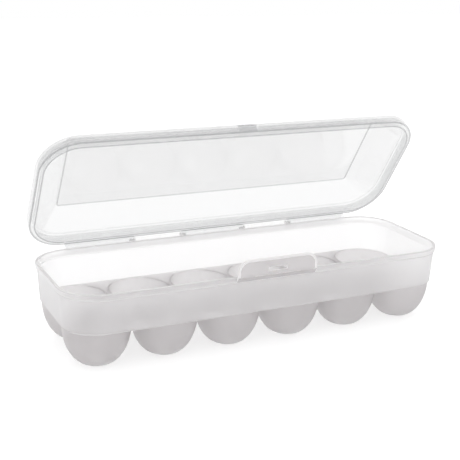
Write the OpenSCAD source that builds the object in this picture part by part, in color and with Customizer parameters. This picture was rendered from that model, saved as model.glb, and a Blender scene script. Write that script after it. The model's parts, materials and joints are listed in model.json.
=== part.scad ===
// Egg keeper: a frosted tray of round cups under a clear lid that flips open on a rear hinge.
// X runs along the keeper, Y from front to back, Z up, and the cups' feet stand on Z = 0.
// The origin is under the middle of the keeper as it stands with its lid open.

/* [Cups] */
// Cups along the keeper
columns = 6; // [2:1:6]
// Distance between the middles of neighbouring cups
cup_pitch = 54; // [53.5:0.5:60]
// Outside radius of a cup at its mouth
cup_r = 26.2; // [24.6:0.1:26.6]
// Depth of a cup below the tray's floor
cup_depth = 32; // [26:0.5:40]
// Curve of the cup's side, where 2 is an ellipse and less is more pointed
cup_power = 2.05; // [1.7:0.05:2.6]
// Radius of the flat foot under each cup
foot_r = 6; // [4:0.5:9]
// Thickness of the cup's wall
cup_t = 1.6; // [1.2:0.1:2]
// Rounding of the edge where the floor turns down into a cup
cup_lip_r = 0.9; // [0.4:0.1:1]

/* [Tray] */
// Height of the tray's rim above the feet
tray_h = 63.8; // [56:0.1:80]
// Plan radius of the rim's corners
corner_r = 30; // [26:0.5:31]
// Thickness of the tray's wall
wall_t = 1.7; // [1.5:0.1:1.8]
// Thickness of the floor between the cups
floor_t = 1.6; // [1.2:0.1:2]
// How far the wall leans in between the rim band and the floor
draft = 1.5; // [0.5:0.1:2]
// Rounding under the wall, where it turns in to the floor
heel_r = 1; // [0.8:0.1:1.4]
// Space between that rounding and the outer cups
cup_gap = 0.2; // [0.2:0.1:3]
// Height of the band round the rim
band_h = 4.3; // [3:0.1:5]
// How far the band stands out from the wall
band_out = 1.3; // [0.6:0.1:1.5]
// Thickness of the rim at the band
band_t = 2.6; // [2.2:0.1:2.9]
// Depth of the mouth inside the rim, down to its small ledge
mouth_h = 5.6; // [5:0.1:8]
// Rounding of the rim's top edges
rim_round = 0.5; // [0.2:0.1:0.9]

/* [Lid] */
// Angle at which the lid stands open in the rest pose
open_rest = 57; // [30:1:90]
// Angle at which the open lid meets its stop
open_max = 105; // [95:1:110]
// How far the lid's rim stands out past the tray's rim
lid_over = 0.6; // [0:0.1:0.9]
// Height of the lid's upright rim
skirt_h = 8.8; // [8:0.1:12]
// Thickness of the lid's walls
lid_t = 1.5; // [1.2:0.1:1.8]
// Width of the ledge between the lid's rim and its dome
ledge_w = 6; // [5.5:0.1:8]
// Thickness of the locating lip under the ledge
lip_t = 1.2; // [0.8:0.1:1.4]
// Depth to which the locating lip reaches into the tray's mouth
lip_depth = 1.2; // [0.6:0.1:2.5]
// Side clearance between the locating lip and the mouth
lip_gap = 0.5; // [0.3:0.1:0.6]
// Rounding of the rim's outer top edge
skirt_round = 1.2; // [0.4:0.1:1.3]
// Height of the dome above the ledge
dome_h = 16.8; // [10:0.2:30]
// Inset of the flat top panel from the lid's ends
panel_end = 27.4; // [20:0.2:40]
// Inset of the flat top panel from the lid's front and back
panel_side = 19.9; // [14:0.1:30]
// Corner radius of the top panel
panel_r = 2.5; // [1:0.5:8]
// Gap left between the closed lid and the tray's rim
seat_gap = 0.2; // [0.1:0.05:0.4]

/* [Hinge] */
// Distance of the hinge axis behind the tray's rim
axis_back = 3.7; // [3.6:0.1:5]
// Depth of the hinge axis below the top of the tray's rim
axis_down = 0.6; // [0:0.1:1]
// Radius of the hinge barrels
barrel_r = 2.5; // [2.2:0.1:2.6]
// Radius of the pins on the tray's lugs
pin_r = 1.3; // [1:0.1:1.5]
// Reach of each pin into a knuckle
pin_l = 4; // [3:0.5:6]
// Running clearance round a pin
pin_gap = 0.08; // [0.03:0.01:0.1]
// Length of each of the lid's knuckles, as a share of the rim's straight part
knuckle_share = 0.222; // [0.15:0.001:0.222]
// Length of each of the tray's lugs, as a share of the rim's straight part
lug_share = 0.155; // [0.08:0.001:0.155]
// Gap between a knuckle's end and a lug's end
side_gap = 0.5; // [0.3:0.1:0.9]
// Thickness of the arm that carries a knuckle
arm_t = 1.7; // [1.2:0.1:2]
// Thickness of the toe on each knuckle, which stops the open lid against the tray's band
toe_t = 1.6; // [1.2:0.1:2]
// How much further the toe reaches from the hinge axis than the band's face is away
toe_reach = 0.9; // [0.6:0.1:1.3]
// Space left between the fully open lid's toes and the band
stop_gap = 0.1; // [0.05:0.05:0.3]

/* [Latch] */
// Width of the latch tab
tab_w = 68; // [50:1:90]
// Height of the latch tab above the tray's rim
tab_up = 13.4; // [12:0.1:20]
// Thickness of the latch tab
tab_t = 1.8; // [1.6:0.1:2.4]
// Corner radius of the latch tab
tab_r = 9; // [4:0.5:10]
// Width of the raised border round the latch tab
tab_border = 1.8; // [1:0.1:3]
// Depth of the face inside that border
tab_sink = 0.5; // [0.2:0.1:0.7]
// Gap between the latch tab and the closed lid's rim
tab_gap = 0.7; // [0.7:0.1:1.5]
// Width of the slot in the latch tab
slot_w = 16.4; // [10:0.2:24]
// Height of the slot in the latch tab
slot_h = 3.2; // [2.8:0.1:4]
// Height of the slot's middle above the tray's rim
slot_up = 4.4; // [4.2:0.1:4.8]
// Clearance round the lid's catch inside the slot
catch_gap = 0.3; // [0.2:0.1:0.6]
// Height of the catch's base on the lid's rim
catch_h = 8; // [6:0.1:8]

/* [Hidden] */
$fn = 96;
hull_fn = 48;
side_steps = 10;
arc_steps = 6;

wall_foot = band_out + draft;
floor_in = wall_foot + heel_r;
floor_top = cup_depth + floor_t;
cup_in = floor_in + cup_gap + cup_r;
tray_l = (columns - 1) * cup_pitch + 2 * cup_in;
tray_w = cup_pitch + 2 * cup_in;
band_foot = tray_h - band_h;

lid_l = tray_l + 2 * lid_over;
lid_w = tray_w + 2 * lid_over;
lid_r = corner_r + lid_over;
lid_foot = tray_h + seat_gap;
ledge_top = lid_foot + skirt_h;
dome_top = ledge_top + dome_h;
lip_in = lid_over + band_t + lip_gap;

axis_y = tray_w / 2 + axis_back;
axis_z = tray_h - axis_down;
face_back = axis_back - lid_over;
hinge_room = tray_l - 2 * corner_r;
knuckle_l = hinge_room * knuckle_share;
lug_l = hinge_room * lug_share;
lug_x = knuckle_l / 2 + side_gap + lug_l / 2;
knuckle_x = lug_x + lug_l / 2 + side_gap + knuckle_l / 2;

tab_in = tray_w / 2 + lid_over + tab_gap;
tab_out = tab_in + tab_t;
slot_z = tray_h + slot_up;

toe_l = axis_back + toe_reach;
// Direction of the toe on the closed lid, so that its corner meets the band at the widest opening
toe_turn = open_max - 180 + acos((axis_back - stop_gap) / norm([toe_l, toe_t / 2])) + atan(toe_t / 2 / toe_l);

// Where the rest pose puts the back edge of the lid's panel
panel_back = axis_y + (lid_w / 2 - panel_side - axis_y) * cos(open_rest)
    + (dome_top - axis_z) * sin(open_rest);
y_mid = (panel_back - tab_out) / 2;

frosted = "#d8d6dc";
clear = "#e9eef0";

// Points of an arc about c, from angle a to angle b
function arc(c, r, a, b) =
    [for (i = [0:arc_steps]) c + r * [cos(a + (b - a) * i / arc_steps), sin(a + (b - a) * i / arc_steps)]];

// Points of a cup's side from [r0, z0] on its foot up to [r1, z1] at its mouth
function cup_side(r0, z0, r1, z1) =
    [for (i = [0:side_steps]) let (a = 90 * i / side_steps)
        [r0 + (r1 - r0) * pow(sin(a), 2 / cup_power), z1 - (z1 - z0) * pow(cos(a), 2 / cup_power)]];

// Rounded rectangle, standing on z and h high
module slab(l, w, r, z, h) {
    translate([0, 0, z]) linear_extrude(h) union() {
        square([l - 2 * r, w], center = true);
        square([l, w - 2 * r], center = true);
        for (x = [-1, 1], y = [-1, 1]) translate([x * (l / 2 - r), y * (w / 2 - r)]) circle(r);
    }
}

// Closed belt round a rounded rectangle; each point is [distance inside the outline, height]
module belt(l, w, r, points) {
    section = [for (p = points) [r - p[0], p[1]]];
    for (i = [0:3]) {
        half = i % 2 == 0 ? [l, w] / 2 : [w, l] / 2;
        rotate(90 * i) {
            translate([half[0] - r, half[1] - r, 0]) rotate_extrude(angle = 90) polygon(section);
            translate([half[0] - r, 0, 0]) rotate([90, 0, 0])
                linear_extrude(2 * (half[1] - r), center = true) polygon(section);
        }
    }
}

module keeper() translate([0, -y_mid, 0]) children();

// Turns a piece of the closed lid up to the given angle
module opened(angle) translate([0, axis_y, axis_z]) rotate([-angle, 0, 0])
    translate([0, -axis_y, -axis_z]) children();

module tray_wall() {
    inner = wall_foot + wall_t;
    step = band_out + wall_t;
    color(frosted) keeper() belt(tray_l, tray_w, corner_r, concat(
        arc([rim_round, tray_h - rim_round], rim_round, 90, 180),
        [[0, band_foot], [band_out, band_foot - band_out / 2]],
        arc([wall_foot + heel_r, cup_depth + heel_r], heel_r, 180, 270),
        [[floor_in, floor_top], [inner, floor_top],
         [step, tray_h - mouth_h - (step - band_t)], [band_t, tray_h - mouth_h]],
        arc([band_t - rim_round, tray_h - rim_round], rim_round, 0, 90)));
}

// One cup with its share of the tray's floor; row is -1 at the front and 1 at the rear
module egg_cup(column, row) {
    x = (column - (columns + 1) / 2) * cup_pitch;
    y = row * cup_pitch / 2;
    left = column == 1 ? tray_l / 2 : cup_pitch / 2;
    right = column == columns ? tray_l / 2 : cup_pitch / 2;
    mouth_r = cup_r - cup_t;
    color(frosted) keeper() difference() {
        union() {
            intersection() {
                slab(tray_l - 2 * floor_in, tray_w - 2 * floor_in, corner_r - floor_in, cup_depth, floor_t);
                translate([x - left, row < 0 ? -tray_w : 0, cup_depth])
                    cube([left + right, tray_w, floor_t]);
            }
            translate([x, y, 0]) rotate_extrude()
                polygon(concat([[0, 0]], cup_side(foot_r, 0, cup_r, cup_depth), [[0, cup_depth]]));
        }
        translate([x, y, 0]) rotate_extrude() polygon(concat([[0, cup_t]],
            cup_side(foot_r, cup_t, mouth_r, floor_top - cup_lip_r),
            arc([mouth_r + cup_lip_r, floor_top - cup_lip_r], cup_lip_r, 180, 90),
            [[mouth_r + cup_lip_r, floor_top + 1], [0, floor_top + 1]]));
    }
}

// Lug on the tray's rim: a barrel with a pin at each end, and the web that carries it
module hinge_lug(side) {
    pin = side_gap + pin_l;
    color(frosted) keeper() translate([side * lug_x, axis_y, axis_z]) {
        rotate([90, 0, 90]) linear_extrude(lug_l, center = true) union() {
            circle(barrel_r);
            translate([-axis_back, band_foot - axis_z]) square([axis_back, axis_z - band_foot]);
        }
        for (end = [-1, 1]) translate([end * (lug_l + pin) / 2, 0, 0]) rotate([0, 90, 0])
            cylinder(r = pin_r, h = pin, center = true);
    }
}

module hinge_lug_left() hinge_lug(-1);
module hinge_lug_right() hinge_lug(1);

// Upright outline of the latch tab from the given foot, drawn in from its other edges by inset
module tab_outline(foot, inset) {
    w = tab_w - 2 * inset;
    h = band_h + tab_up - inset - foot;
    r = tab_r - inset;
    translate([-w / 2, foot]) square([w, h - r]);
    translate([r - w / 2, foot]) square([w - 2 * r, h]);
    for (x = [-1, 1]) translate([x * (w / 2 - r), foot + h - r]) circle(r);
}

module latch_tab() {
    root = tab_out - tray_w / 2;
    top = band_h + tab_up;
    seat = band_h - rim_round;
    color(frosted) keeper() difference() {
        translate([0, 0, band_foot]) intersection() {
            translate([0, -tray_w / 2, 0]) rotate([90, 0, -90]) linear_extrude(tab_w, center = true)
                polygon([[0, 0], [root, band_h], [root, top],
                    [root - tab_t, top], [root - tab_t, seat], [0, seat]]);
            translate([0, 1 - tray_w / 2, 0]) rotate([90, 0, 0]) linear_extrude(root + 2) tab_outline(0, 0);
        }
        translate([0, tab_sink - tab_out, band_foot]) rotate([90, 0, 0])
            linear_extrude(tab_t) tab_outline(band_h, tab_border);
        translate([-slot_w / 2, -tab_out - 1, slot_z - slot_h / 2])
            cube([slot_w, tab_t + 2, slot_h]);
    }
}

module lid_rim() {
    color(clear) keeper() opened(open_rest) belt(lid_l, lid_w, lid_r, concat(
        [[lid_t, lid_foot], [0, lid_foot]],
        arc([skirt_round, ledge_top - skirt_round], skirt_round, 180, 90),
        [[ledge_w, ledge_top], [ledge_w, ledge_top - lid_t],
         [lip_in + lip_t, ledge_top - lid_t], [lip_in + lip_t, lid_foot - lip_depth],
         [lip_in, lid_foot - lip_depth], [lip_in, ledge_top - lid_t],
         [lid_t, ledge_top - lid_t]]));
}

// Solid of the dome from the ledge up to the flat panel, drawn in by inset
module dome(inset, foot, top) {
    thin = 0.02;
    hull($fn = hull_fn) {
        slab(lid_l - 2 * (ledge_w + inset), lid_w - 2 * (ledge_w + inset), lid_r - ledge_w - inset,
            foot, ledge_top - foot, $fn = hull_fn);
        slab(lid_l - 2 * (panel_end + inset), lid_w - 2 * (panel_side + inset), panel_r,
            top - thin, thin, $fn = hull_fn);
    }
}

module lid_dome() {
    foot = ledge_top - lid_t;
    color(clear) keeper() opened(open_rest) difference() {
        dome(0, foot, dome_top);
        dome(lid_t, foot - 1, dome_top - lid_t);
    }
}

// Wedge that snaps into the slot of the latch tab
module lid_catch() {
    low = tab_gap - catch_gap;
    tip = tab_gap + tab_t * 0.7;
    half = slot_h / 2 - catch_gap;
    w = slot_w - 2 * catch_gap;
    color(clear) keeper() opened(open_rest) translate([w / 2, -lid_w / 2, slot_z]) rotate([90, 0, -90])
        linear_extrude(w) polygon([[0, -catch_h / 2], [low, low - catch_h / 2], [low, -half],
            [tip, 0], [tip, half], [low, half], [low, catch_h / 2 - low], [0, catch_h / 2]]);
}

// Knuckle at x with its arm and toe; bores lists the ends that take a pin
module lid_knuckle(x, bores) {
    depth = pin_l + side_gap;
    color(clear) keeper() opened(open_rest) translate([x, axis_y, axis_z]) difference() {
        rotate([90, 0, 90]) linear_extrude(knuckle_l, center = true) union() {
            circle(barrel_r);
            translate([-face_back, barrel_r - arm_t]) square([face_back, arm_t]);
            rotate(toe_turn) translate([0, -toe_t / 2]) square([toe_l, toe_t]);
        }
        for (end = bores) translate([end * (knuckle_l / 2 - depth / 2 + 0.5), 0, 0]) rotate([0, 90, 0])
            cylinder(r = pin_r + pin_gap, h = depth + 1, center = true);
    }
}

module lid_knuckle_left() lid_knuckle(-knuckle_x, [1]);
module lid_knuckle_middle() lid_knuckle(0, [-1, 1]);
module lid_knuckle_right() lid_knuckle(knuckle_x, [-1]);

tray_wall();
hinge_lug_left();
hinge_lug_right();
latch_tab();
for (c = [1:columns]) {
    egg_cup(c, -1);
    egg_cup(c, 1);
}
lid_rim();
lid_dome();
lid_catch();
lid_knuckle_left();
lid_knuckle_middle();
lid_knuckle_right();
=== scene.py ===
import json
import math
import bpy
import bmesh
import numpy as np
from mathutils import Matrix, Vector


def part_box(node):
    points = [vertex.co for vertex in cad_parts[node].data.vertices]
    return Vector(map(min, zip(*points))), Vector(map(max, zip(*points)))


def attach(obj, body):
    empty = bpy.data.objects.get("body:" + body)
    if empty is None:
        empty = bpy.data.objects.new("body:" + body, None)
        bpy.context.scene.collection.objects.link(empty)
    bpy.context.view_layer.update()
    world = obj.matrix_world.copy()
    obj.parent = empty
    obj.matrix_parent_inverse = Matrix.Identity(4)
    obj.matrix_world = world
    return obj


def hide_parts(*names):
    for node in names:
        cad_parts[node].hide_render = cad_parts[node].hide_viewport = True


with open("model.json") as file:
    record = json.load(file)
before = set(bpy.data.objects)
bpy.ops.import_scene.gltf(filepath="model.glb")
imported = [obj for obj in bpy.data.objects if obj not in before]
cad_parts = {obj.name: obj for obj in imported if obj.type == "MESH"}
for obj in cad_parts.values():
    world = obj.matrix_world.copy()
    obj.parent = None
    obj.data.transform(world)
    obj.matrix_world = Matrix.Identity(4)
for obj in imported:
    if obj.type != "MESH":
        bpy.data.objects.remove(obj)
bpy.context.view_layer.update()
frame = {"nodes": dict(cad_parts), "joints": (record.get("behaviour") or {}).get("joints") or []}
print("frame loaded:", len(frame["nodes"]), "nodes")

mm = 0.001  # lengths are in millimetres, and Blender's are in metres
middleY = (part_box("tray_wall")[0].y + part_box("tray_wall")[1].y) / 2 / mm
hinge = next(j for j in frame["joints"] if j["name"] == "lid_hinge")
hingePoint = np.array(hinge["pos_m"])
restOpening = math.radians(hinge["range_deg"][1])


# Mesh helpers

meshing = {
    "sharpAngle": 38,  # degrees between two faces, from which their edge is sharp
    "weld": 0.004,
    "sliver": 0.0004,
}


def roundedPath(points, radii, steps=5):
    # A polyline whose corners are rounded: each corner is a quadratic curve between the two points that
    # lie its radius away from it along both sides
    points = np.asarray(points, float)
    out = [points[:1]]
    for before, corner, after, radius in zip(points[:-2], points[1:-1], points[2:], radii):
        start = corner + (before - corner) / np.linalg.norm(before - corner) * radius
        end = corner + (after - corner) / np.linalg.norm(after - corner) * radius
        t = np.linspace(0, 1, steps + 1)[:, None]
        out.append((1 - t) ** 2 * start + 2 * t * (1 - t) * corner + t ** 2 * end)
    out.append(points[-1:])
    return np.concatenate(out)


def arcPoints(centre, radius, start, end, steps):
    # Points on a circle about centre, from the start angle to the end angle in degrees
    angle = np.radians(np.linspace(start, end, steps + 1))
    return np.stack([centre[0] + radius * np.cos(angle), centre[1] + radius * np.sin(angle)], 1)


def rectangleRing(length, width, radius, sideSteps, arcSteps):
    # A rounded rectangle about the origin, counter-clockwise: four arcs of the radius joined by straight
    # sides, with the same number of points whatever its size
    along = np.linspace(0, 1, sideSteps, endpoint=False)[:, None]
    arcs = []
    for quarter, (signX, signY) in enumerate(((1, 1), (-1, 1), (-1, -1), (1, -1))):
        centre = (signX * (length / 2 - radius), signY * (width / 2 - radius))
        arcs.append(arcPoints(centre, radius, 90 * quarter, 90 * quarter + 90, arcSteps))
    parts = []
    for arc, following in zip(arcs, arcs[1:] + arcs[:1]):
        parts += [arc[:-1], arc[-1] + (following[0] - arc[-1]) * along]
    return np.concatenate(parts)


def withHeight(path, height):
    # A grid of points in plan, with one height for each of its rows
    rows = np.broadcast_to(height[:, None, None], path.shape[:2] + (1,))
    return np.concatenate([path, rows], 2)


def gridFaces(rows, columns, first, closed):
    # Quads of a grid of rows by columns, whose last column joins the first if it is closed
    wide = columns if closed else columns - 1
    row, column = np.meshgrid(np.arange(rows - 1), np.arange(wide), indexing="ij")
    near = first + row * columns
    far = near + columns
    after = (column + 1) % columns
    return np.stack([near + column, near + after, far + after, far + column], -1).reshape(-1, 4)


def markSharp(work, limit):
    # Every face is smooth, and an edge is sharp where its two faces turn by the limit or more
    for face in work.faces:
        face.smooth = True
    for edge in work.edges:
        edge.smooth = len(edge.link_faces) == 2 and edge.calc_face_angle(0) < limit


def makePiece(name, grids, closed, rowSlots, sharpAngle):
    # One welded mesh from grids of points, with its faces turned outwards. Each grid's rowSlots give a
    # material slot to each strip between two of its rows
    vertices, faces, slots, first = [], [], [], 0
    for grid, loops, slot in zip(grids, closed, rowSlots):
        rows, columns = grid.shape[:2]
        vertices.append(grid.reshape(-1, 3))
        faces.append(gridFaces(rows, columns, first, loops))
        slots.append(np.repeat(slot, columns if loops else columns - 1))
        first += rows * columns
    mesh = bpy.data.meshes.new(name)
    mesh.from_pydata((np.concatenate(vertices) * mm).tolist(), [], np.concatenate(faces).tolist())
    mesh.polygons.foreach_set("material_index", np.concatenate(slots).astype(np.int32))
    work = bmesh.new()
    work.from_mesh(mesh)
    bmesh.ops.remove_doubles(work, verts=work.verts, dist=meshing["weld"] * mm)
    bmesh.ops.dissolve_degenerate(work, edges=work.edges, dist=meshing["sliver"] * mm)
    bmesh.ops.recalc_face_normals(work, faces=work.faces)
    markSharp(work, math.radians(sharpAngle))
    openEdges = sum(len(edge.link_faces) != 2 for edge in work.edges)
    work.to_mesh(mesh)
    work.free()
    piece = bpy.data.objects.new(name, mesh)
    bpy.context.scene.collection.objects.link(piece)
    print(name, "faces", len(mesh.polygons), "open edges", openEdges)
    return piece


# Tray

tray = {
    "columns": 6,
    "pitch": 54.0,
    "height": 63.8,
    "cornerRadius": 30.0,
    "cupRadius": 26.2,
    "cupFoot": 6.0,  # radius at which a cup's side leaves its foot
    "cupWall": 1.6,
    "cupDepth": 32.0,
    "cupPower": 2.05,  # 2 gives an ellipse, and more is squarer
    "cupLip": 0.9,
    "cupGap": 0.2,
    "floor": 1.6,
    "wall": 1.7,
    "draft": 1.5,
    "heel": 1.0,  # round between the wall and the floor's underside
    "bandOut": 1.3,
    "bandHeight": 4.3,
    "bandWall": 2.6,
    "bandRounds": (0.6, 0.5),
    "mouth": 5.6,  # depth of the thicker wall inside the rim
    "mouthRounds": (0.5, 0.5),
    "rimRound": 0.5,
    "beadReach": 0.75,  # half the height of the painted highlight line at the band's foot
    "sideRays": 20,
    "cupRings": 22,
    "floorRings": 3,
}


def trayMeasures(t):
    # The wall's foot, the inset of the floor and the outside at the band, worked out as the construction does
    foot = t["bandOut"] + t["draft"]
    inset = foot + t["heel"]
    reach = inset + t["cupGap"] + t["cupRadius"]
    length = (t["columns"] - 1) * t["pitch"] + 2 * reach
    width = t["pitch"] + 2 * reach
    return foot, inset, length, width


def cellRim(t, column, row):
    # The edge of one cup's share of the floor in stretches, each with its points below and above and its
    # outward normals where the tray's wall stands. Its sides run front, right, rear and left, and are cut at
    # equal angles as seen from the cup's centre, so neighbours share their points. Above, the wall is
    # thicker than its heel, so the floor's edge moves in along those normals
    foot, inset, length, width = trayMeasures(t)
    centre = np.array([(column - (t["columns"] - 1) / 2) * t["pitch"], (row - 0.5) * t["pitch"]])
    normals = np.array([(0, -1), (1, 0), (0, 1), (-1, 0)], float)
    outer = (row == 0, column == t["columns"] - 1, row == 1, column == 0)
    edges = np.array([width, length, width, length]) / 2 - inset - normals @ centre
    away = np.where(outer, edges, t["pitch"] / 2)
    radius = t["cornerRadius"] - inset
    inward = foot + t["wall"] - inset
    stretches = []
    for side, normal in enumerate(normals):
        before, after = side - 1, (side + 1) % 4
        along = normals[after]
        first = -away[before] + radius * (outer[before] and outer[side])
        last = away[after] - radius * (outer[side] and outer[after])
        turns = math.atan2(first, away[side]), math.atan2(last, away[side])
        count = max(2, round(t["sideRays"] * (turns[1] - turns[0]) / math.radians(90)))
        place = away[side] * np.tan(np.linspace(*turns, count + 1))
        line = centre + normal * away[side] + along * place[:, None]
        push = np.tile(normal * outer[side], (count + 1, 1))
        shift = push
        if not outer[side]:
            share = ((place - first) / (last - first))[:, None]
            shift = normals[before] * outer[before] * (1 - share) + along * outer[after] * share
        stretches.append((line, line - shift * inward, push))
        if outer[side] and outer[after]:
            hub = line[-1] - normal * radius
            angle = math.degrees(math.atan2(normal[1], normal[0]))
            arc = arcPoints(hub, radius, angle, angle + 90, t["sideRays"])
            push = (arc - hub) / radius
            stretches.append((arc, arc - push * inward, push))
    return centre, stretches


def cupSide(t, low, mouth, high):
    # Superellipse from the foot's radius and height to the mouth's: radius grows with a power of the sine
    # of an angle, and height with a power of its cosine
    angle = np.linspace(0, math.pi / 2, t["cupRings"] + 1)
    power = 2 / t["cupPower"]
    radius = t["cupFoot"] + (mouth - t["cupFoot"]) * np.sin(angle) ** power
    height = high - (high - low) * np.cos(angle) ** power
    return np.stack([radius, height], 1)


def cupProfiles(t):
    # Radius and height of a cup's inside, from a flat foot up to its round lip at the floor's top, and of
    # its outside, up to the floor's underside
    lipFoot = t["cupDepth"] + t["floor"] - t["cupLip"]
    mouth = t["cupRadius"] - t["cupWall"]
    inside = np.concatenate([
        [[0, t["cupWall"]], [t["cupFoot"] / 2, t["cupWall"]]],
        cupSide(t, t["cupWall"], mouth, lipFoot),
        arcPoints((mouth + t["cupLip"], lipFoot), t["cupLip"], 180, 90, 4)[1:],
    ])
    outside = np.concatenate([
        [[0, 0], [t["cupFoot"] / 2, 0]],
        cupSide(t, 0, t["cupRadius"], t["cupDepth"]),
    ])
    return inside, outside


def wallProfile(t):
    # Inset and height of the wall, up its outside from the floor's underside, over the rim and down to the
    # floor, with a slot for each strip: 1 for the heel, the band's lower edge and the rim's top, painted near
    # white as highlight lines, 2 elsewhere
    foot, inset, _, _ = trayMeasures(t)
    top, r = t["height"], t["rimRound"]
    heelTop = t["cupDepth"] + t["heel"]
    bandFoot = top - t["bandHeight"]
    mouthFoot = top - t["mouth"]
    step = t["bandOut"] + t["wall"]
    profile = np.concatenate([
        [[inset, t["cupDepth"]]],
        arcPoints((foot + t["heel"], heelTop), t["heel"], 270, 180, 6)[1:],
        roundedPath([[foot, heelTop], [t["bandOut"], bandFoot - t["bandOut"] / 2], [0, bandFoot],
                     [0, top - r]], t["bandRounds"], 3)[1:],
        arcPoints((r, top - r), r, 180, 90, 4)[1:],
        arcPoints((t["bandWall"] - r, top - r), r, 90, 0, 4),
        roundedPath([[t["bandWall"], top - r], [t["bandWall"], mouthFoot],
                     [step, mouthFoot - (step - t["bandWall"])],
                     [foot + t["wall"], t["cupDepth"] + t["floor"]]], t["mouthRounds"], 3)[1:],
    ])
    middle = (profile[:-1] + profile[1:]) / 2
    # The heel, the band's foot and the rim's top take the near white copy: painted highlight lines
    bead = (abs(middle[:, 1] - bandFoot) < t["beadReach"]) & (middle[:, 0] < t["bandOut"])
    paintedHighlight = (middle[:, 1] < heelTop) | bead | (middle[:, 1] > top - r)
    return profile, np.where(paintedHighlight, 1, 2)


def cupCell(t, centre, edge, profile):
    # One stretch of a cup and the floor round it: the profile carried out from the centre towards each point
    # of the edge, and then level to the edge
    spoke = (edge - centre) / np.linalg.norm(edge - centre, axis=1)[:, None]
    cup = centre + profile[:, :1, None] * spoke
    share = np.linspace(0, 1, t["floorRings"] + 1)[1:, None, None]
    path = np.concatenate([cup, cup[-1] * (1 - share) + edge * share])
    return withHeight(path, np.append(profile[:, 1], np.full(t["floorRings"], profile[-1, 1])))


def traySkins(t):
    # The tray's whole skin as grids of points: floor and cups in slot 0, from above and from below, in a
    # copy painted darker as shade, and the wall pushed in and out along its normals
    inside, outside = cupProfiles(t)
    wall, wallSlots = wallProfile(t)
    inset = trayMeasures(t)[1]
    grids, slots = [], []
    for row, column in np.ndindex(2, t["columns"]):
        centre, stretches = cellRim(t, column, row)
        for below, above, outward in stretches:
            for edge, profile in ((above, inside), (below, outside)):
                grids.append(cupCell(t, centre, edge, profile))
                slots.append(np.zeros(len(grids[-1]) - 1, int))
            if outward.any():
                path = below + (inset - wall[:, 0])[:, None, None] * outward
                grids.append(withHeight(path, wall[:, 1]))
                slots.append(wallSlots)
    for grid in grids:
        grid[..., 1] += middleY
    return grids, slots


trayGrids, traySlots = traySkins(tray)
trayShell = makePiece("trayShell", trayGrids, [False] * len(trayGrids), traySlots, meshing["sharpAngle"])
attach(trayShell, "tray")
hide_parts("tray_wall", *[n for n in frame["nodes"] if n.startswith("egg_cup")])
print("tray made")


# Lid

lid = {
    "over": 0.6,  # past the tray's band all round
    "foot": 64.0,
    "skirtHeight": 8.8,
    "wall": 1.5,
    "ledge": 6.0,
    "ledgeRun": 1.5,
    "lipIn": 3.7,
    "lipWall": 1.2,
    "lipDepth": 1.2,
    "lipRun": 0.6,
    "lipRounds": (0.3, 0.45, 0.45, 0.5),
    "skirtRounds": (0.7, 0.4, 0.4, 1.2),
    "domeHeight": 16.8,
    "domeRun": 0.12,  # this run and the two fillets are shares of the dome's slope
    "footFillet": 0.1,
    "topFillet": 0.045,
    "panelEnd": 27.4,
    "panelSide": 19.9,
    "panelRadius": 2.5,
    "leastRadius": 0.3,
    "shadeLineWidth": 0.35,  # of the painted shade lines at the feet and round the panel
    "slotReach": 0.3,
    "panelReach": 0.05,
    "capRings": 4,
    "sideSteps": 24,
    "arcSteps": 20,
    "sharpAngle": 50,
}


def openLid(points):
    # The closed lid's points turned about the hinge by the opening that the frame stands at
    turn = -restOpening
    moved = points * mm - hingePoint
    y = moved[..., 1] * math.cos(turn) - moved[..., 2] * math.sin(turn)
    z = moved[..., 1] * math.sin(turn) + moved[..., 2] * math.cos(turn)
    return (np.stack([moved[..., 0], y, z], -1) + hingePoint) / mm


def lidRings(d, length, width, section):
    # Each row of the section is (inset at the ends, inset at the sides, corner radius, height), and gives
    # one rounded rectangle
    rings = []
    for endInset, sideInset, radius, z in section:
        sides = length - 2 * endInset, width - 2 * sideInset
        ring = rectangleRing(*sides, radius, d["sideSteps"], d["arcSteps"])
        rings.append(np.column_stack([ring, np.full(len(ring), z)]))
    return np.array(rings)


def domeSection(d, corner, offset, foot, top):
    # From the ledge up to the panel: insets and radius go from the ledge's to the panel's as the height
    # rises, with a fillet at the ledge and a small round at the panel's edge
    slope = [[-d["domeRun"], 0], [0, 0], [1, 1], [1 + d["domeRun"], 1]]
    shape = roundedPath(slope, [d["footFillet"], d["topFillet"]], 6)[1:-1]
    share, rise = shape[:, 0], foot + (top - foot) * shape[:, 1]
    ledgeInset = d["ledge"] + offset
    endInset = ledgeInset + (d["panelEnd"] - d["ledge"]) * share
    sideInset = ledgeInset + (d["panelSide"] - d["ledge"]) * share
    ledgeRadius = corner - ledgeInset
    radius = np.maximum(ledgeRadius + (d["panelRadius"] - ledgeRadius) * share, d["leastRadius"])
    return np.column_stack([endInset, sideInset, radius, rise])


def evenSection(corner, points):
    # A belt's section: the same inset at ends and sides, and a corner radius smaller by that inset
    points = np.asarray(points, float)
    return np.column_stack([points[:, 0], points[:, 0], corner - points[:, 0], points[:, 1]])


def panelCap(d, ring):
    # Copies of the panel's ring that shrink evenly to its middle
    hub = ring.mean(0)
    return hub + (ring - hub) * np.linspace(1, 0, d["capRings"] + 1)[:, None, None]


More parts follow.
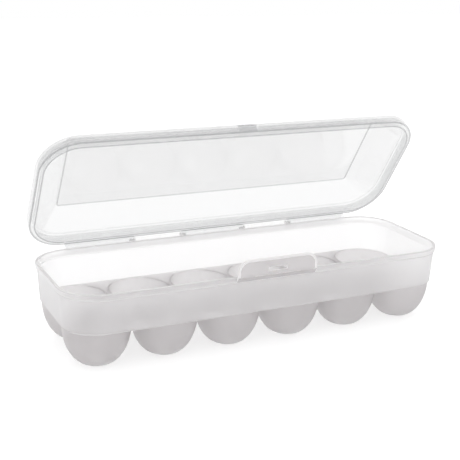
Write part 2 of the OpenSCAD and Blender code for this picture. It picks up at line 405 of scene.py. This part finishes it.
def lidSkin(d):
    # The whole lid's skin as one closed stack of rounded rectangles, from the panel's underside out over the
    # lip and the skirt and back to the panel's top. The feet of the skirt and the lip and the inside edge of
    # the panel are in slot 1, painted as dark lines of shade, the panel in slot 2 and the skirt's outside in
    # slot 3, both painted greyer as shade
    _, _, length, width = trayMeasures(tray)
    length, width = length + 2 * d["over"], width + 2 * d["over"]
    corner = tray["cornerRadius"] + d["over"]
    ledgeTop = d["foot"] + d["skirtHeight"]
    ledgeLow = ledgeTop - d["wall"]
    domeTop = ledgeTop + d["domeHeight"]
    domeLow = domeTop - d["wall"]
    lipOut = d["lipIn"] + d["lipWall"]
    lipLow = d["foot"] - d["lipDepth"]
    rimOutside = roundedPath(
        [[lipOut + d["lipRun"], ledgeLow], [lipOut, ledgeLow], [lipOut, lipLow], [d["lipIn"], lipLow],
         [d["lipIn"], ledgeLow], [d["wall"], ledgeLow], [d["wall"], d["foot"]], [0, d["foot"]],
         [0, ledgeTop], [d["ledge"] - d["ledgeRun"], ledgeTop]],
        d["lipRounds"] + d["skirtRounds"], 4)
    underside = domeSection(d, corner, d["wall"], ledgeLow, domeLow)
    topside = domeSection(d, corner, 0, ledgeTop, domeTop)
    section = np.concatenate([underside[::-1], evenSection(corner, rimOutside), topside])
    middle = (section[:-1] + section[1:]) / 2
    inset, height = middle[:, 0], middle[:, 3]
    skirtFoot = (height < d["foot"] + d["shadeLineWidth"]) & (inset < d["wall"] + d["slotReach"])
    lipFoot = height < lipLow + d["shadeLineWidth"]
    panelEdge = (np.arange(len(middle)) < len(underside)) & (height > domeLow - d["shadeLineWidth"])
    # Slot 1 paints dark lines of shade; slots 2 and 3 paint the panel and the skirt greyer as shade
    slots = np.where(height > domeLow - d["panelReach"], 2, 0)
    slots[(inset < d["slotReach"]) & (height < ledgeTop)] = 3
    slots[skirtFoot | lipFoot | panelEdge] = 1
    rings = lidRings(d, length, width, section)
    grids = [panelCap(d, rings[0])[::-1], rings, panelCap(d, rings[-1])]
    for grid in grids:
        grid[..., 1] += middleY
    panel = np.full(d["capRings"], 2)
    return [openLid(grid) for grid in grids], [panel, slots, panel]


lidGrids, lidSlots = lidSkin(lid)
lidShell = makePiece("lidShell", lidGrids, [True] * len(lidGrids), lidSlots, lid["sharpAngle"])
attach(lidShell, "lid")
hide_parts("lid_rim", "lid_dome")
print("lid made")


# Small mouldings: copies of the frame's nodes, merged and with their edges softened

lugMoulding = {"body": "tray", "slot": "frosted_plastic", "soften": 0.35}
tabMoulding = {"body": "latch", "slot": "frosted_plastic", "soften": 0.3}
lidMoulding = {"body": "lid", "slot": "clear_plastic", "soften": 0.3}
small = {
    "hinge_lug_left": {"name": "hingeLugLeft", **lugMoulding},
    "hinge_lug_right": {"name": "hingeLugRight", **lugMoulding},
    "latch_tab": {"name": "latchTab", **tabMoulding},
    "lid_catch": {"name": "lidCatch", **lidMoulding},
    "lid_knuckle_left": {"name": "lidKnuckleLeft", **lidMoulding},
    "lid_knuckle_middle": {"name": "lidKnuckleMiddle", **lidMoulding},
    "lid_knuckle_right": {"name": "lidKnuckleRight", **lidMoulding},
}
softening = {
    "weld": 0.002,
    "flatAngle": 1,
    "roundSteps": 2,
    "boreReach": 2.0,  # pins and bores lie within it of the hinge's axis, and barrels outside it
    "borderReach": 0.1,  # the tab's border lies within it of the tab's front
    "edgeNormal": 0.5,  # how far forward the faces of the tab's own edges look at most
}


def softenedCopy(node, d):
    # The node's own mesh, welded, with flat areas joined and sharp edges rounded. Slot 1 holds the tab's
    # raised border and its edges, painted near white as highlight lines, and the pins and bores of the hinge
    piece = bpy.data.objects.new(d["name"], frame["nodes"][node].data.copy())
    piece.data.materials.clear()
    bpy.context.scene.collection.objects.link(piece)
    work = bmesh.new()
    work.from_mesh(piece.data)
    bmesh.ops.remove_doubles(work, verts=work.verts, dist=softening["weld"] * mm)
    flat = math.radians(softening["flatAngle"])
    bmesh.ops.dissolve_limit(work, angle_limit=flat, verts=work.verts, edges=work.edges)
    limit = math.radians(meshing["sharpAngle"])
    markSharp(work, limit)
    borderY = min(vertex.co.y for vertex in work.verts) + softening["borderReach"] * mm
    for face in work.faces:
        middle = face.calc_center_median()
        # The tab's edges and border take the near white copy: painted highlight lines
        if d["body"] == "latch":
            picked = abs(face.normal.y) < softening["edgeNormal"] or middle.y < borderY
        else:
            picked = math.dist(middle[1:], hingePoint[1:]) < softening["boreReach"] * mm
        face.material_index = int(picked)
    work.to_mesh(piece.data)
    work.free()
    bevel = piece.modifiers.new("softEdges", "BEVEL")
    bevel.width = d["soften"] * mm
    bevel.segments = softening["roundSteps"]
    bevel.limit_method = "ANGLE"
    bevel.angle_limit = limit
    bevel.use_clamp_overlap = True
    bevel.harden_normals = True
    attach(piece, d["body"])
    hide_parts(node)
    return piece


smallPieces = {node: softenedCopy(node, d) for node, d in small.items()}
print("small mouldings made:", len(smallPieces))


# Materials

white = (1, 1, 1, 1)


def linear(code):
    # sRGB hex to linear colour
    parts = [int(code[i:i + 2], 16) / 255 for i in (1, 3, 5)]
    return [c / 12.92 if c <= 0.04045 else ((c + 0.055) / 1.055) ** 2.4 for c in parts] + [1.0]


def addNode(tree, kind, settings=None, inputs=None):
    # One node with its settings; an input takes a value, or a link where it is another node's output
    node = tree.nodes.new(kind)
    for key, value in (settings or {}).items():
        setattr(node, key, value)
    for key, value in (inputs or {}).items():
        if isinstance(value, bpy.types.NodeSocket):
            tree.links.new(value, node.inputs[key])
        else:
            node.inputs[key].default_value = value
    return node


def newMaterial(name):
    material = bpy.data.materials.new(name)
    material.use_nodes = True
    material.node_tree.nodes.clear()
    return material, material.node_tree


def noiseNormal(tree, sizeMm, detail, strength, depthMm):
    # Normals tilted by noise of the given size and depth, which stays fixed to the object
    place = addNode(tree, "ShaderNodeTexCoord").outputs["Object"]
    noise = addNode(tree, "ShaderNodeTexNoise", {}, {
        "Vector": place, "Scale": 1 / (sizeMm * mm), "Detail": detail})
    bump = addNode(tree, "ShaderNodeBump", {}, {
        "Strength": strength, "Distance": depthMm * mm, "Height": noise.outputs["Fac"]})
    return bump.outputs["Normal"]


polypropylene = {
    "body": "#F9F9F9",
    "veil": "#F9F9F9",
    "glowShare": 0.6,
    "ior": 1.49,
    "sparkMm": 0.7,
    "sparkDetail": 2.0,
    "sparkDepthMm": 0.1,
    "bump": 0.06,
}
polypropyleneFinishes = {
    # Darker, milkier copy for the cups and the floor than the wall's: painted shade
    "texturedPolypropyleneCupPaintedShade": {"milkAndPaintedLight": "#D9D5D6", "share": 0.36, "roughness": 0.28, "blurs": True},
    # Near white, mostly milky copy: painted highlight lines on the tray's heel, band foot and rim top; the
    # hinge's pins take it too
    "texturedPolypropylenePaintedHighlight": {"milkAndPaintedLight": "#F2F1F1", "share": 0.9, "roughness": 0.28, "blurs": False},
    "texturedPolypropyleneWall": {"milkAndPaintedLight": "#F3F1F2", "share": 0.17, "roughness": 0.4, "blurs": True},
    # Darker copy for the tab than the wall's: painted shade
    "texturedPolypropyleneTabPaintedShade": {"milkAndPaintedLight": "#E8E5E6", "share": 0.45, "roughness": 0.28, "blurs": False},
    # Near white copy for the tab's border and edges: painted highlight lines
    "texturedPolypropyleneBorderPaintedHighlight": {"milkAndPaintedLight": "#FDFCFC", "share": 0.85, "roughness": 0.28, "blurs": False},
    "texturedPolypropyleneLug": {"milkAndPaintedLight": "#F2F1F1", "share": 0.12, "roughness": 0.28, "blurs": False},
}


def texturedPolypropylene(name, d, finish):
    # Natural polypropylene, injection moulded in a spark-textured tool: milky, so that it glows with the
    # light behind it and shows only soft shapes through it. Where it doesn't blur, light goes straight on.
    # The copies' colours and milkiness paint light and shade: the cups, floor and tab darker as painted
    # shade, the tray's edge strips and the tab's border near white as painted highlight lines
    material, tree = newMaterial(name)
    normal = noiseNormal(tree, d["sparkMm"], d["sparkDetail"], d["bump"], d["sparkDepthMm"])
    milkAndPaintedLight, roughness = linear(finish["milkAndPaintedLight"]), finish["roughness"]
    skin = addNode(tree, "ShaderNodeBsdfPrincipled", {}, {
        "Base Color": milkAndPaintedLight, "Roughness": roughness, "IOR": d["ior"], "Normal": normal})
    glow = addNode(tree, "ShaderNodeBsdfTranslucent", {}, {"Color": milkAndPaintedLight})
    milky = addNode(tree, "ShaderNodeMixShader", {}, {
        "Fac": d["glowShare"], 1: skin.outputs[0], 2: glow.outputs[0]})
    through = addNode(tree, "ShaderNodeBsdfTransparent", {}, {"Color": linear(d["veil"])})
    if finish["blurs"]:
        blur = addNode(tree, "ShaderNodeBsdfPrincipled", {}, {
            "Base Color": linear(d["body"]), "Roughness": roughness, "IOR": d["ior"],
            "Transmission Weight": 1.0, "Normal": normal})
        shadowRay = addNode(tree, "ShaderNodeLightPath").outputs["Is Shadow Ray"]
        through = addNode(tree, "ShaderNodeMixShader", {}, {
            "Fac": shadowRay, 1: blur.outputs[0], 2: through.outputs[0]})
    both = addNode(tree, "ShaderNodeMixShader", {}, {
        "Fac": finish["share"], 1: through.outputs[0], 2: milky.outputs[0]})
    addNode(tree, "ShaderNodeOutputMaterial", {}, {"Surface": both.outputs[0]})
    return material


polystyrene = {
    "roughness": 0.05,
    "ior": 1.5,
    "thinShare": 0.9,
    "passedShare": 0.5,
    "waveMm": 14.0,
    "waveDetail": 1.0,
    "waveDepthMm": 0.1,
    "wave": 0.08,
}
polystyreneFinishes = {
    "polishedPolystyreneWall": {"tint": "#F8F8F8", "hazeAndPaintedShade": "#C4C6C8", "share": 0.07},
    # Much darker grey, more of it: painted shade lines where the edges turn
    "polishedPolystyrenePaintedEdgeShade": {"tint": "#F8F8F8", "hazeAndPaintedShade": "#8E9092", "share": 0.4},
    # Darker grey: painted shade, the grey that reflection gives the panel
    "polishedPolystyrenePanelPaintedShade": {"tint": "#F8F8F8", "hazeAndPaintedShade": "#B8BABC", "share": 0.08},
    # Darker grey: painted shade, the grey of the skirt seen through its layers
    "polishedPolystyreneSkirtPaintedShade": {"tint": "#F8F8F8", "hazeAndPaintedShade": "#A4A6A8", "share": 0.1},
    "polishedPolystyreneSolid": {"tint": "#FDFDFD", "hazeAndPaintedShade": "#B4B6B8", "share": 0.18},
    "polishedPolystyreneBore": {"tint": "#FDFDFD", "hazeAndPaintedShade": "#C4C6C8", "share": 0.0},
}


def polishedPolystyrene(name, d, finish):
    # Clear polystyrene, injection moulded in a polished tool: glossy, with a trace of milkiness, and the slow
    # waves that the melt leaves as it flows. Copies with a darker grey milkiness paint shade: lines where its
    # edges turn, the panel and the skirt. Most light goes straight through, as in a wall too thin to bend it,
    # and more of it is mirrored at a slant
    material, tree = newMaterial(name)
    normal = noiseNormal(tree, d["waveMm"], d["waveDetail"], d["wave"], d["waveDepthMm"])
    tint, hazeAndShadeColour = linear(finish["tint"]), linear(finish["hazeAndPaintedShade"])
    glass = addNode(tree, "ShaderNodeBsdfPrincipled", {}, {
        "Base Color": tint, "Roughness": d["roughness"], "IOR": d["ior"],
        "Transmission Weight": 1.0, "Normal": normal})
    straight = addNode(tree, "ShaderNodeBsdfTransparent", {}, {"Color": tint})
    gloss = addNode(tree, "ShaderNodeBsdfGlossy", {}, {
        "Color": white, "Roughness": d["roughness"], "Normal": normal})
    inside = addNode(tree, "ShaderNodeNewGeometry").outputs["Backfacing"]
    index = addNode(tree, "ShaderNodeMapRange", {}, {
        "Value": inside, "To Min": d["ior"], "To Max": 1 / d["ior"]})
    slant = addNode(tree, "ShaderNodeFresnel", {}, {"IOR": index.outputs[0]})
    wall = addNode(tree, "ShaderNodeMixShader", {}, {
        "Fac": slant.outputs[0], 1: straight.outputs[0], 2: gloss.outputs[0]})
    body = addNode(tree, "ShaderNodeMixShader", {}, {
        "Fac": d["thinShare"], 1: glass.outputs[0], 2: wall.outputs[0]})
    reflected = addNode(tree, "ShaderNodeBsdfDiffuse", {}, {"Color": hazeAndShadeColour})
    passed = addNode(tree, "ShaderNodeBsdfTranslucent", {}, {"Color": hazeAndShadeColour})
    hazeAndPaintedShade = addNode(tree, "ShaderNodeMixShader", {}, {
        "Fac": d["passedShare"], 1: reflected.outputs[0], 2: passed.outputs[0]})
    milky = addNode(tree, "ShaderNodeMixShader", {}, {
        "Fac": finish["share"], 1: body.outputs[0], 2: hazeAndPaintedShade.outputs[0]})
    shadowRay = addNode(tree, "ShaderNodeLightPath").outputs["Is Shadow Ray"]
    both = addNode(tree, "ShaderNodeMixShader", {}, {
        "Fac": shadowRay, 1: milky.outputs[0], 2: straight.outputs[0]})
    addNode(tree, "ShaderNodeOutputMaterial", {}, {"Surface": both.outputs[0]})
    return material


materials = {}
for name, finish in polypropyleneFinishes.items():
    materials[name] = texturedPolypropylene(name, polypropylene, finish)
for name, finish in polystyreneFinishes.items():
    materials[name] = polishedPolystyrene(name, polystyrene, finish)

# The slots of each piece, in order: the shells by name, and the small mouldings by their body
shellSlots = {
    trayShell: ("texturedPolypropyleneCupPaintedShade", "texturedPolypropylenePaintedHighlight", "texturedPolypropyleneWall"),
    lidShell: ("polishedPolystyreneWall", "polishedPolystyrenePaintedEdgeShade", "polishedPolystyrenePanelPaintedShade",
               "polishedPolystyreneSkirtPaintedShade"),
}
smallSlots = {
    "tray": ("texturedPolypropyleneLug", "texturedPolypropylenePaintedHighlight"),
    "latch": ("texturedPolypropyleneTabPaintedShade", "texturedPolypropyleneBorderPaintedHighlight"),
    "lid": ("polishedPolystyreneSolid", "polishedPolystyreneBore"),
}


def giveMaterials(piece, names):
    for name in names:
        piece.data.materials.append(materials[name])


for piece, names in shellSlots.items():
    giveMaterials(piece, names)
for node, piece in smallPieces.items():
    giveMaterials(piece, smallSlots[small[node]["body"]])
print("materials made:", len(materials))


# Studio, in metres

studio = {
    "floorSize": 6.0,
    "floorColour": "#C8C8C8",
    "floorGlow": 0.35,
    "floorSeen": 0.57,
    "skyFront": 0.85,
    "skyBack": 1.0,
    "skyReach": 0.7,  # how far forward and back the sky changes, 1 being the horizon
    "lampTarget": (0, 0, 0.05),
}
lamps = {
    "keyLamp": {"place": (-0.9, -0.9, 1.4), "size": 1.2, "power": 3.0},
    "fillLamp": {"place": (1.2, -0.5, 0.9), "size": 1.4, "power": 1.5},
    "rearLamp": {"place": (0.2, 1.5, 1.1), "size": 1.6, "power": 3.0},
}


def seenRay(tree):
    # 1 for a ray that shows the background: straight from the camera, mirrored by gloss, or through plastic
    path = addNode(tree, "ShaderNodeLightPath")
    seen = path.outputs["Is Camera Ray"]
    for kind in ("Is Transmission Ray", "Is Glossy Ray"):
        either = addNode(tree, "ShaderNodeMath", {"operation": "MAXIMUM"}, {0: seen, 1: path.outputs[kind]})
        seen = either.outputs[0]
    return seen


def whiteFloor(d):
    # Pale floor that the camera sees as white, and that still takes a soft shadow
    material, tree = newMaterial("whiteFloor")
    paint = addNode(tree, "ShaderNodeBsdfDiffuse", {}, {"Color": linear(d["floorColour"])})
    level = addNode(tree, "ShaderNodeMapRange", {}, {
        "Value": seenRay(tree), "To Min": d["floorGlow"], "To Max": d["floorSeen"]})
    glow = addNode(tree, "ShaderNodeEmission", {}, {"Color": white, "Strength": level.outputs[0]})
    both = addNode(tree, "ShaderNodeAddShader", {}, {0: paint.outputs[0], 1: glow.outputs[0]})
    addNode(tree, "ShaderNodeOutputMaterial", {}, {"Surface": both.outputs[0]})
    half = d["floorSize"] / 2
    corners = [(-half, -half, 0), (half, -half, 0), (half, half, 0), (-half, half, 0)]
    mesh = bpy.data.meshes.new("floor")
    mesh.from_pydata(corners, [], [(0, 1, 2, 3)])
    mesh.materials.append(material)
    floor = bpy.data.objects.new("floor", mesh)
    bpy.context.scene.collection.objects.link(floor)


def addLamp(name, d, target):
    # A square soft box that looks at the keeper
    lamp = bpy.data.lights.new(name, "AREA")
    lamp.size = d["size"]
    lamp.energy = d["power"]
    piece = bpy.data.objects.new(name, lamp)
    piece.location = d["place"]
    piece.rotation_euler = (Vector(target) - Vector(d["place"])).to_track_quat("-Z", "Y").to_euler()
    bpy.context.scene.collection.objects.link(piece)


def whiteWorld(d):
    # White behind the keeper; as a light, the sky is brighter at the back than at the front
    world = bpy.data.worlds.new("world")
    bpy.context.scene.world = world
    world.use_nodes = True
    tree = world.node_tree
    tree.nodes.clear()
    toward = addNode(tree, "ShaderNodeTexCoord").outputs["Generated"]
    depth = addNode(tree, "ShaderNodeSeparateXYZ", {}, {"Vector": toward})
    light = addNode(tree, "ShaderNodeMapRange", {}, {
        "Value": depth.outputs["Y"], "From Min": -d["skyReach"], "From Max": d["skyReach"],
        "To Min": d["skyFront"], "To Max": d["skyBack"]})
    level = addNode(tree, "ShaderNodeMapRange", {}, {
        "Value": seenRay(tree), "To Min": light.outputs[0], "To Max": 1.0})
    sky = addNode(tree, "ShaderNodeBackground", {}, {"Color": white, "Strength": level.outputs[0]})
    addNode(tree, "ShaderNodeOutputWorld", {}, {"Surface": sky.outputs[0]})


whiteFloor(studio)
for name, lamp in lamps.items():
    addLamp(name, lamp, studio["lampTarget"])
whiteWorld(studio)
bpy.context.scene.view_settings.view_transform = "Standard"
print("studio made")


# Camera, at the photograph's viewing angle

view = {
    "azimuth": -26.0,
    "elevation": 16.72,
    "roll": 1.52,
    "distance": 783.9,
    "focalPixels": 966.65,
    "picture": 460,
    "sensor": 36,
    "target": (-11.7, 2.73, 81.9),  # its y counts from the tray's middle
}


def addCamera(d):
    # The eye stands back from the target along the view's azimuth and elevation, turned by the roll
    azimuth, elevation, roll = (math.radians(d[k]) for k in ("azimuth", "elevation", "roll"))
    level = math.cos(elevation)
    back = Vector((math.sin(azimuth) * level, -math.cos(azimuth) * level, math.sin(elevation)))
    right = Vector((math.cos(azimuth), math.sin(azimuth), 0))
    up = back.cross(right)
    turnedRight = right * math.cos(roll) + up * math.sin(roll)
    turnedUp = up * math.cos(roll) - right * math.sin(roll)
    target = Vector((d["target"][0], d["target"][1] + middleY, d["target"][2])) * mm
    data = bpy.data.cameras.new("camera")
    data.sensor_width = d["sensor"]
    data.lens = d["focalPixels"] / d["picture"] * d["sensor"]
    camera = bpy.data.objects.new("camera", data)
    place = target + back * d["distance"] * mm
    camera.matrix_world = Matrix((
        (turnedRight.x, turnedUp.x, back.x, place.x),
        (turnedRight.y, turnedUp.y, back.y, place.y),
        (turnedRight.z, turnedUp.z, back.z, place.z),
        (0, 0, 0, 1)))
    bpy.context.scene.collection.objects.link(camera)
    bpy.context.scene.camera = camera


addCamera(view)
print("camera made")
